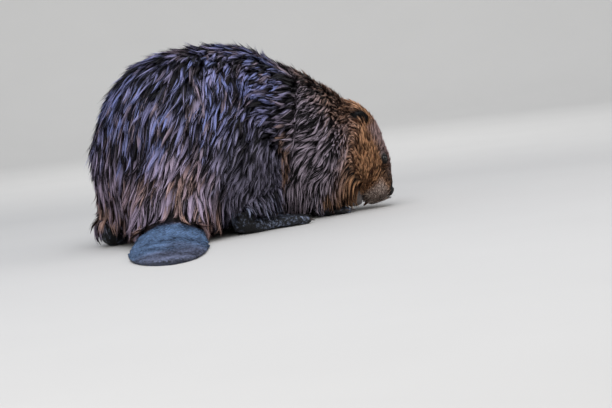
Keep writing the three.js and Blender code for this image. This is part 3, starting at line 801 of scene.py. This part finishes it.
def grownCores(line, faces, rule):  # the body of each lock, a long ridged leaf
    share = np.repeat(np.linspace(0.0, 0.97, coreStations)[None], len(faces), 0)
    at, normal, heading = lineAt(line, share)
    side = np.cross(normal, heading)
    rise = onTriangle["depth"][faces][:, None] * line["rise"][:, None]
    lift = rise * (0.02 + 0.92 * share ** 0.75) - comb["root"] * (share < 0.12)
    lift = lift + 0.9 * line["stand"][:, None] * share ** 3
    half = rule["pitch"] * 0.50 * gathered(share, rule)
    half[:, -1] = 0
    crown = rule["crown"] * smoothStep(0.0, 0.25, share) * (1 - share ** 3)
    ridge = at + normal * (lift + crown)[..., None]
    edge = at + normal * (lift - 0.3 * rule["crown"])[..., None]
    return [edge - side * half[..., None], ridge, edge + side * half[..., None]], share


def meshFrom(name, points, faces):
    mesh = bpy.data.meshes.new(name)
    mesh.vertices.add(len(points))
    mesh.vertices.foreach_set("co", points.astype(np.float32).ravel())
    sizes = np.concatenate([np.full(len(f), f.shape[1]) for f in faces])
    corners = np.concatenate([f.ravel() for f in faces])
    mesh.loops.add(len(corners))
    mesh.loops.foreach_set("vertex_index", corners.astype(np.int32))
    mesh.polygons.add(len(sizes))
    mesh.polygons.foreach_set("loop_start", np.concatenate([[0], np.cumsum(sizes)[:-1]]).astype(np.int32))
    mesh.update(calc_edges=True)
    mesh.validate()
    mesh.shade_smooth()
    obj = bpy.data.objects.new(name, mesh)
    bpy.context.scene.collection.objects.link(obj)
    return obj, corners


def stripFaces(count, columns, stations):  # columns of points side by side, running to one tip
    each = columns * (stations - 1) + 1
    base = (np.arange(count) * each)[:, None]
    starts = [k * columns + c for k in range(stations - 1) for c in range(columns - 1)]
    quads = np.array([[a, a + columns, a + columns + 1, a + 1] for a in starts[: 1 - columns]])
    tips = np.array([[a, each - 1, a + 1] for a in starts[1 - columns:]])
    return [(base[:, :, None] + group[None]).reshape(-1, group.shape[1]) for group in (quads, tips)]


def stripPoints(columns, stations):  # the same order as stripFaces counts them
    body = np.stack([c[..., : stations - 1, :] for c in columns], -2)
    body = body.reshape(-1, (stations - 1) * len(columns), body.shape[-1])
    tip = columns[0][..., stations - 1, :].reshape(-1, 1, body.shape[-1])
    return np.concatenate([body, tip], 1)


def strips(columns, share, home, tone, faces):  # everything a mesh of such strips is made from
    stations, wide = share.shape[-1], len(columns)
    places = stripPoints(columns, stations)
    along = stripPoints([share[..., None]] * wide, stations)
    down = np.stack([np.zeros(stations), np.linspace(0, patch["size"], stations)], 1)
    spacing = patch["size"] / (wide - 1)
    uv = stripPoints([home[..., None, :] + down + [spacing * c, 0] for c in range(wide)], stations)
    uv[:, -1, 0] += patch["size"] / 2
    each = places.shape[1]
    return {
        "places": places.reshape(-1, 3),
        "uv": uv.reshape(-1, 2),
        "along": along.ravel(),
        "tone": np.repeat(tone.ravel(), each),
        "owner": np.repeat(faces, each),
        "faces": stripFaces(len(places), wide, stations),
    }


def coatPiece(name, line, faces, rule):
    columns, share, lane = grownStrands(line, faces, rule)
    count, perLock = len(faces), rule["strands"]
    lockTone = rng.random(count)
    # the middle strands of each lock come out lighter than its edges: painted shade where locks part
    tone = 0.50 * lockTone[:, None] + 0.38 * rng.random((count, perLock)) + 0.12 * (1 - lane ** 2)
    tone = smoothStep(-0.06, 0.12, tone - 0.86 + 0.80 * onTriangle["light"][faces][:, None])
    index = np.arange(perLock)
    corner = np.stack([index % patch["perRow"], index // patch["perRow"]], 1) - 1.5
    home = triangleUv[faces][:, None, :] + corner[None] * patch["step"]
    layers = [strips(columns, share, home, tone, np.repeat(faces, perLock))]
    if rule["core"]:
        columns, share = grownCores(line, faces, rule)
        home = triangleUv[faces] + np.array([0, 2.5 * patch["step"]])
        layers.append(strips(columns, share, home, 0.42 * smoothStep(0.60, 0.95, lockTone), faces))
    starts = (0, len(layers[0]["places"]))
    parts = [group + start for layer, start in zip(layers, starts) for group in layer["faces"]]
    whole = {key: np.concatenate([layer[key] for layer in layers]) for key in layers[0] if key != "faces"}
    whole["places"][:, 2] = np.maximum(whole["places"][:, 2], floorGap)
    piece, corners = meshFrom(name, whole["places"], parts)
    setUv(piece.data, whole["uv"][corners])
    setColour(piece.data, "deep", onTriangle["deep"][whole["owner"]])
    setColour(piece.data, "bright", onTriangle["bright"][whole["owner"]])
    setNumber(piece.data, "along", whole["along"])
    setNumber(piece.data, "tone", whole["tone"])
    return piece


def trianglesPerLock(rule):  # a strip has two a segment and one at its tip, a core twice as many
    core = 2 * (2 * coreStations - 3) if rule["core"] else 0
    return rule["strands"] * (2 * len(rule["taper"]) - 3) + core


def growCoat():
    pieces = []
    starts = [rule["above"] for rule in coatRules.values()] + [1.0]
    for (name, rule), upTo in zip(coatRules.items(), starts[1:]):
        ranged = (onTriangle["pitch"] >= rule["above"]) & (onTriangle["pitch"] < upTo)
        roots, faces = scatter(np.flatnonzero(ranged & (onTriangle["haired"] > 0.6)), rule["pitch"])
        line = combed(roots, faces, rule)
        parts = math.ceil(len(roots) * trianglesPerLock(rule) / mostTriangles)
        for part in range(parts):
            mine = slice(part, None, parts)
            share = {key: values[mine] for key, values in line.items()}
            pieces.append(coatPiece(f"{name}{part + 1}", share, faces[mine], rule))
        print(name, len(roots), "locks in", parts, "pieces")
    return pieces


coatPieces = growCoat()


# Scales of the tail

def scaleSeats():
    heading = math.radians(scales["heading"])
    forward = np.array([math.cos(heading), math.sin(heading), 0])
    sideways = np.array([-forward[1], forward[0], 0])
    reach = int(scales["halfWidth"] / scales["across"])
    seats = []
    for row in range(int(scales["length"] / scales["along"])):
        for column in range(-reach, reach + 1):
            across = (column + 0.5 * (row % 2)) * scales["across"]
            along = row * scales["along"] - scales["before"]
            along += scales["wave"] * math.sin(across * 210 + row * 0.21)
            along += scales["bow"] * math.cos(across * 21)
            across += scales["shift"] * math.sin(row * 1.7 + column)
            spot = Vector(np.array([*scales["root"], 0]) + forward * along + sideways * across)
            for up in (1, -1):
                hit, _, face, _ = tree.ray_cast(spot + Vector((0, 0, 0.12 * up)), Vector((0, 0, -up)))
                if hit is None or onTriangle["paddle"][face] <= 0.55:
                    continue
                if onTriangle["normal"][face][2] * up > 0.35:
                    seats.append((np.array(hit), face))
    return seats, forward


def tailScales():
    seats, forward = scaleSeats()
    at, faces = (np.array(part) for part in zip(*seats))
    normal = onTriangle["normal"][faces]
    side = unit(np.cross(normal, forward))
    ahead = np.cross(side, normal)
    corners = np.radians(-60 * np.arange(6) - 30)
    size = rng.uniform(0.90, 1.06, (len(at), 1, 1))
    tilt = rng.normal(0, 0.10, (len(at), 2))

    def ring(share, lift):
        u = np.cos(corners)[None, :, None] * scales["across"] * 0.577 * share * size
        v = np.sin(corners)[None, :, None] * scales["along"] * 0.667 * share * size
        rise = lift + tilt[:, :1, None] * u + tilt[:, 1:, None] * v
        return at[:, None] + side[:, None] * u + ahead[:, None] * v + normal[:, None] * rise

    top, foot = ring(scales["top"], scales["height"]), ring(scales["foot"], -scales["sunk"])
    places = np.concatenate([top, foot], 1)
    base = (np.arange(len(at)) * 12)[:, None, None]
    lids = [[0, 1, 2, 3], [0, 3, 4, 5]]
    walls = [[i, i + 6, (i + 1) % 6 + 6, (i + 1) % 6] for i in range(6)]
    quads = [(base + np.array(group)).reshape(-1, 4) for group in (lids, walls)]
    piece, corner = meshFrom("tailScales", places.reshape(-1, 3), quads)
    ringUv = np.stack([np.cos(corners), np.sin(corners)], 1) * patch["size"] / 2
    uv = triangleUv[faces][:, None] + np.concatenate([ringUv * 0.7, ringUv])[None]
    setUv(piece.data, uv.reshape(-1, 2)[corner])
    setColour(piece.data, "deep", np.repeat(onTriangle["deep"][faces], 12, 0))
    setColour(piece.data, "bright", np.repeat(onTriangle["bright"][faces], 12, 0))
    setNumber(piece.data, "tone", np.repeat(rng.random(len(at)), 12))
    setNumber(piece.data, "top", np.tile(np.repeat([1.0, 0.0], 6), len(at)))
    print("tail scales:", len(at))
    return piece


tailPiece = tailScales()


# Eyes, claws, teeth and whiskers

eyePlan = {"segments": 48, "rings": 32, "cornea": 0.0006}
whiskerPlan = {
    "rows": 3,
    "perRow": 3,
    "length": 0.040,
    "halfWidth": 0.00022,
    "first": (-0.014, 0.021, -0.026),  # the foremost one of the top row, in the head's own frame
    "apart": (-0.0055, -0.006),  # along a row, and from row to row
    "droop": 0.010,
    "stations": 7,
}


def eyePiece(side):
    deselectAll()
    bpy.ops.mesh.primitive_uv_sphere_add(
        segments=eyePlan["segments"], ring_count=eyePlan["rings"], radius=headPlan["eyeRadius"] - 0.0001,
    )
    eye = bpy.context.active_object
    for corner in eye.data.vertices:
        corner.co.z += eyePlan["cornea"] * max(0, corner.co.z / headPlan["eyeRadius"] - 0.55) ** 0.5
    turn = Vector((0, 0, 1)).rotation_difference(Vector(eyeGaze(side))).to_matrix().to_4x4()
    eye.data.transform(Matrix.Translation(Vector(eyeCentre(side))) @ turn)
    eye.name = eye.data.name = "eyeball" + side.capitalize()
    eye.data.shade_smooth()
    return eye


def roundedCopies(nodeNames, name, levels):
    piece = joined([mergedCopy(node) for node in nodeNames], name)
    applyModifier(piece, "round", "SUBSURF", levels=levels, render_levels=levels)
    piece.data.shade_smooth()
    return piece


def whisker(sign, row, column):  # rings of three points, from the root to the tip
    ahead, out, up = whiskerPlan["first"]
    back, down = whiskerPlan["apart"]
    root, face = onSkin(fromHead([(ahead + back * column, out * sign, up + down * row)]))
    outward = onTriangle["normal"][face[0]]
    aim = 0.8 * outward - headAxes[:, 0] * (0.35 + 0.15 * column) + [0, 0, -0.15]
    aim = unit(aim + rng.normal(0, 0.08, 3))
    droop = (np.array([0, 0, -1.0]) - headAxes[:, 0]) * whiskerPlan["droop"]
    across = unit(np.cross(aim, [0, 0, 1.0]))
    lift = np.cross(aim, across)
    length = whiskerPlan["length"] * rng.uniform(0.6, 1.1)
    t = np.linspace(0, 1, whiskerPlan["stations"])[:, None, None]
    angle = (np.arange(3) * 2 * math.pi / 3)[:, None]
    ring = across * np.cos(angle) + lift * np.sin(angle)
    spine = root[0] - outward * 0.001 + aim * length * t + droop * t * t
    return (spine + ring * whiskerPlan["halfWidth"] * (1 - 0.85 * t)).reshape(-1, 3)


def whiskers():
    rows, perRow = range(whiskerPlan["rows"]), range(whiskerPlan["perRow"])
    hairs = [whisker(sign, row, column) for sign in (-1, 1) for row in rows for column in perRow]
    places = np.concatenate(hairs)
    places[:, 2] = np.maximum(places[:, 2], floorGap)
    each = len(hairs[0])
    rings = np.arange(0, each - 3, 3)[:, None, None]
    walls = (rings + np.array([[c, (c + 1) % 3, (c + 1) % 3 + 3, c + 3] for c in range(3)])).reshape(-1, 4)
    ends = np.array([[0, 2, 1], [each - 3, each - 2, each - 1]])
    base = (np.arange(len(hairs)) * each)[:, None, None]
    parts = [(base + group).reshape(-1, group.shape[1]) for group in (walls, ends)]
    return meshFrom("whiskers", places, parts)[0]


eyes = {side: eyePiece(side) for side in sides}
clawNodes = sorted(name for name in nodes if "claw" in name)
claws = roundedCopies(clawNodes, "claws", 2)
teeth = {name: roundedCopies([name], name + "Smooth", 2) for name in ("upper_incisors", "lower_incisors")}
whiskerPiece = whiskers()
print("eyes, claws, teeth and whiskers made")


# Finishes

class Wire:  # a socket that takes part in sums
    def __init__(self, paint, socket):
        self.paint = paint
        self.socket = socket

    def sum(self, operation, first, second, clamp=False):
        settings = {"operation": operation, "use_clamp": clamp}
        return self.paint.node("ShaderNodeMath", settings, {0: first, 1: second})

    def __add__(self, other):
        return self.sum("ADD", self, other)

    def __radd__(self, other):
        return self.sum("ADD", other, self)

    def __sub__(self, other):
        return self.sum("SUBTRACT", self, other)

    def __rsub__(self, other):
        return self.sum("SUBTRACT", other, self)

    def __mul__(self, other):
        return self.sum("MULTIPLY", self, other)

    def __rmul__(self, other):
        return self.sum("MULTIPLY", other, self)

    def clamped(self):
        return self.sum("ADD", self, 0.0, True)

    def between(self, low, high):
        sockets = {"Value": self, "From Min": low, "From Max": high}
        return self.paint.node("ShaderNodeMapRange", {"interpolation_type": "SMOOTHSTEP"}, sockets)


class Paint:  # one material
    def __init__(self, name):
        self.material = bpy.data.materials.new(name)
        self.material.use_nodes = True
        self.tree = self.material.node_tree
        self.tree.nodes.clear()

    def node(self, kind, settings, sockets, output=0):
        made = self.tree.nodes.new(kind)
        for key, value in settings.items():
            setattr(made, key, value)
        for key, value in sockets.items():
            if isinstance(value, Wire):
                self.tree.links.new(value.socket, made.inputs[key])
            else:
                made.inputs[key].default_value = value
        return Wire(self, made.outputs[output]) if len(made.outputs) else None

    def place(self, kind="Object"):
        return self.node("ShaderNodeTexCoord", {}, {}, kind)

    def attribute(self, name, output="Fac"):
        return self.node("ShaderNodeAttribute", {"attribute_name": name}, {}, output)

    def noise(self, scale, detail=2.0, vector=None, roughness=0.5):
        sockets = {"Vector": vector or self.place(), "Scale": scale, "Detail": detail}
        return self.node("ShaderNodeTexNoise", {}, sockets | {"Roughness": roughness})

    def mix(self, share, a, b, blend="MIX"):
        settings = {"data_type": "RGBA", "blend_type": blend}
        return self.node("ShaderNodeMix", settings, {0: share, 6: a, 7: b}, 2)

    def shade(self, colour, amount):  # a colour times a number
        grey = self.node("ShaderNodeCombineColor", {}, {0: amount, 1: amount, 2: amount})
        return self.mix(1.0, colour, grey, "MULTIPLY")

    def bump(self, height, strength, distance):
        sockets = {"Strength": strength, "Distance": distance, "Height": height}
        return self.node("ShaderNodeBump", {}, sockets)

    def finish(self, colour, roughness, normal=None, **fixed):
        sockets = {"Base Color": colour, "Roughness": roughness}
        if normal is not None:
            sockets["Normal"] = normal
        for key, value in fixed.items():
            sockets[key.replace("_", " ")] = value
        body = self.node("ShaderNodeBsdfPrincipled", {}, sockets)
        self.node("ShaderNodeOutputMaterial", {}, {"Surface": body})
        return self.material


def rgba(colour):
    return (*[float(c) for c in colour], 1.0)


def coatMaterial():
    paint = Paint("wetCoat")
    tone, along = paint.attribute("tone"), paint.attribute("along")
    grain = paint.noise(420.0, 2.0)
    share = (tone + (grain - 0.5) * 0.25).clamped()
    colour = paint.mix(share, paint.attribute("deep", "Color"), paint.attribute("bright", "Color"))
    shadow = along.between(0.12, 0.74) * 0.90 + 0.10
    colour = paint.shade(colour, shadow * (0.85 + 0.3 * grain))
    roughness = 0.30 + 0.20 * grain
    return paint.finish(colour, roughness, Specular_IOR_Level=0.14)


def skinMaterial():
    paint = Paint("hide")
    place = paint.place()
    deepTone, brightTone = paint.attribute("deep", "Color"), paint.attribute("bright", "Color")
    hairless, face = paint.attribute("hairless"), paint.attribute("face")
    bareness = (hairless + paint.attribute("scaly") + paint.attribute("leather")).clamped()
    fine = paint.noise(260.0, 4.0, place, 0.6)
    broad = paint.noise(38.0, 3.0, place)
    cells = {"Vector": place, "Scale": 420.0}
    pebbled = paint.node("ShaderNodeTexVoronoi", {"feature": "DISTANCE_TO_EDGE"}, cells).between(0.0, 0.12)
    shown = 0.35 + 0.65 * (bareness + face).clamped()  # the skin under the coat stays dark: partly its own dark undercoat, partly painted shade under the hair
    share = (fine.between(0.35, 0.75) * 0.45 + broad.between(0.3, 0.8) * 0.35) * shown
    # on bare skin the light patches are painted highlights
    gleam = (fine * 1.1 + broad * 0.9).between(1.00, 1.40)
    share = share + hairless * (gleam - share)
    colour = paint.mix(share, deepTone, brightTone)
    # painted shade: skin under the coat is darkened (less on the face), and the grooves between pebbles are
    # darker
    colour = paint.shade(colour, (0.40 + 0.45 * face + 0.5 * bareness).clamped() * (0.75 + 0.25 * pebbled))
    height = fine * 0.5 + pebbled * (0.25 + 0.75 * hairless) + broad * 0.6
    normal = paint.bump(height, 0.55, 0.0009)
    roughness = 0.62 - 0.16 * bareness + 0.16 * (fine - 0.5)
    return paint.finish(colour, roughness, normal, Specular_IOR_Level=0.3)


def scaleMaterial():
    paint = Paint("tailScale")
    tone, top = paint.attribute("tone"), paint.attribute("top")
    grain = paint.noise(900.0, 3.0, roughness=0.6)
    cloud = paint.noise(26.0, 2.0)
    share = (tone * 0.5 + cloud.between(0.35, 0.7) * 0.5 + (grain - 0.5) * 0.5).clamped()
    colour = paint.mix(share, paint.attribute("deep", "Color"), paint.attribute("bright", "Color"))
    # painted shade: each scale's sides darken towards its foot, into the grooves between scales
    colour = paint.shade(colour, 0.20 + 0.95 * top.between(0.1, 1.0))
    return paint.finish(colour, 0.42 + 0.2 * grain, paint.bump(grain, 0.4, 0.0003), Specular_IOR_Level=0.15)


hardTones = {name: rgba(linear(*tone)) for name, tone in {
    "irisDark": (14, 10, 8),
    "irisLight": (32, 21, 15),
    "eyeWhite": (16, 13, 13),
    "pupil": (6, 5, 6),
    "clawDark": (20, 16, 17),
    "clawLight": (74, 60, 54),
    "clawWorn": (98, 84, 74),
    "toothDark": (58, 32, 18),
    "toothLight": (96, 60, 34),
    "whiskerDark": (46, 38, 34),
    "whiskerLight": (128, 112, 98),
}.items()}


def eyeMaterial():
    paint = Paint("eyeball")
    place = paint.place("UV")
    height = paint.node("ShaderNodeSeparateXYZ", {}, {0: place}, "Y")  # 1 where the eye looks
    ringed = paint.noise(60.0, 4.0, place)
    iris = paint.mix(ringed, hardTones["irisDark"], hardTones["irisLight"])
    colour = paint.mix(height.between(0.70, 0.76), hardTones["eyeWhite"], iris)
    colour = paint.mix(height.between(0.86, 0.875), colour, hardTones["pupil"])
    gloss = {"Specular_IOR_Level": 0.25, "Coat_Weight": 0.35, "Coat_Roughness": 0.03}
    return paint.finish(colour, 0.12 + 0.05 * ringed, **gloss)


def hornMaterial():
    paint = Paint("claw")
    place = paint.place()
    streak = paint.noise(240.0, 4.0, place, 0.65)
    cloud = paint.noise(70.0, 2.0, place)
    colour = paint.mix(streak, hardTones["clawDark"], hardTones["clawLight"])
    colour = paint.mix(cloud.between(0.45, 0.8) * 0.5, colour, hardTones["clawWorn"])
    normal = paint.bump(streak, 0.35, 0.0004)
    return paint.finish(colour, 0.28 + 0.2 * streak, normal, Coat_Weight=0.25, Coat_Roughness=0.2)


def toothMaterial():
    paint = Paint("incisor")
    streak = paint.noise(300.0, 4.0, roughness=0.6)
    colour = paint.mix(streak, hardTones["toothDark"], hardTones["toothLight"])
    normal = paint.bump(streak, 0.25, 0.0003)
    return paint.finish(colour, 0.25 + 0.2 * streak, normal, Coat_Weight=0.3, Coat_Roughness=0.15)


def whiskerMaterial():
    paint = Paint("whisker")
    tint = paint.noise(90.0)
    colour = paint.mix(tint, hardTones["whiskerDark"], hardTones["whiskerLight"])
    return paint.finish(colour, 0.35 + 0.1 * tint)


def dress(pieces, material):
    for piece in pieces:
        piece.data.materials.clear()
        piece.data.materials.append(material)


dress(coatPieces, coatMaterial())
dress([skin], skinMaterial())
dress([tailPiece], scaleMaterial())
dress(eyes.values(), eyeMaterial())
dress([claws], hornMaterial())
dress(teeth.values(), toothMaterial())
dress([whiskerPiece], whiskerMaterial())
print("finishes made")


# What each piece stands for

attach(skin, "root")
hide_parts(*fleshNodes)
for piece in coatPieces:
    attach(piece, "root")
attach(tailPiece, "root")
for side, eye in eyes.items():
    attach(eye, "root")
    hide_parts("eye_" + side)
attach(claws, "root")
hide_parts(*clawNodes)
for node, piece in teeth.items():
    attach(piece, "root")
    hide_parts(node)
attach(whiskerPiece, "root")


# Floor and light

studio = {
    "flatRadius": 3.6,
    "rimRadius": 1.6,  # the floor's edge turns up on this radius
    "rimSteps": 10,
    "floorTone": linear(188, 186, 182),
    "worldTone": linear(214, 219, 228),
    "worldStrength": 0.86,
    # Each light: where it hangs, where it points, its size, its watts and its tone.
    "overhead": ((-0.5, -0.5, 2.4), (0, 0, 0.12), (2.2, 2.2), 52, (0.92, 0.94, 1.0)),
    "front": ((-1.8, -1.6, 1.3), (0, 0, 0.12), (1.4, 1.0), 18, (1.0, 0.97, 0.93)),
    "backdrop": ((1.0, 1.0, 2.4), (4.4, 4.0, 1.2), (2.6, 1.4), 75, (1.0, 1.0, 1.0)),
    "headSide": ((1.7, -1.3, 1.2), (0, 0, 0.12), (1.2, 1.0), 10, (1.0, 0.95, 0.90)),
}


def studioFloor():
    deselectAll()
    bpy.ops.mesh.primitive_circle_add(vertices=96, radius=studio["flatRadius"], fill_type="NGON")
    floor = bpy.context.active_object
    floor.name = "floor"
    bpy.ops.object.mode_set(mode="EDIT")
    bpy.ops.mesh.select_all(action="SELECT")
    bpy.ops.mesh.select_mode(type="EDGE")
    flat, rim = studio["flatRadius"], studio["rimRadius"]
    for k in range(studio["rimSteps"]):
        low, high = (math.radians(90 * step / studio["rimSteps"]) for step in (k, k + 1))
        scale = (flat + rim * math.sin(high)) / (flat + rim * math.sin(low))
        rise = rim * (math.cos(low) - math.cos(high))
        bpy.ops.mesh.select_all(action="SELECT")
        bpy.ops.mesh.region_to_loop()
        bpy.ops.mesh.extrude_edges_move(TRANSFORM_OT_translate={"value": (0, 0, rise)})
        bpy.ops.transform.resize(value=(scale, scale, 1), center_override=(0, 0, 0))
    bpy.ops.object.mode_set(mode="OBJECT")
    floor.data.shade_smooth()
    paint = Paint("paper")
    mottle = paint.noise(3.0, 3.0)
    colour = paint.mix(mottle, rgba(studio["floorTone"]), rgba(studio["floorTone"] * 0.94))
    dress([floor], paint.finish(colour, 0.75 + 0.1 * mottle))


def softLight(name):
    place, aim, size, watts, tone = studio[name]
    data = bpy.data.lights.new(name, "AREA")
    data.shape, data.size, data.size_y = "RECTANGLE", size[0], size[1]
    data.energy, data.color = watts, tone
    lamp = bpy.data.objects.new(name, data)
    bpy.context.scene.collection.objects.link(lamp)
    lamp.location = place
    lamp.rotation_euler = (Vector(aim) - Vector(place)).to_track_quat("-Z", "Y").to_euler()


def skyLight():
    world = bpy.data.worlds.new("sky")
    world.use_nodes = True
    ground = world.node_tree.nodes["Background"]
    ground.inputs["Color"].default_value = rgba(studio["worldTone"])
    ground.inputs["Strength"].default_value = studio["worldStrength"]
    bpy.context.scene.world = world


studioFloor()
skyLight()
for name in ("overhead", "front", "backdrop", "headSide"):
    softLight(name)
print("stage set")
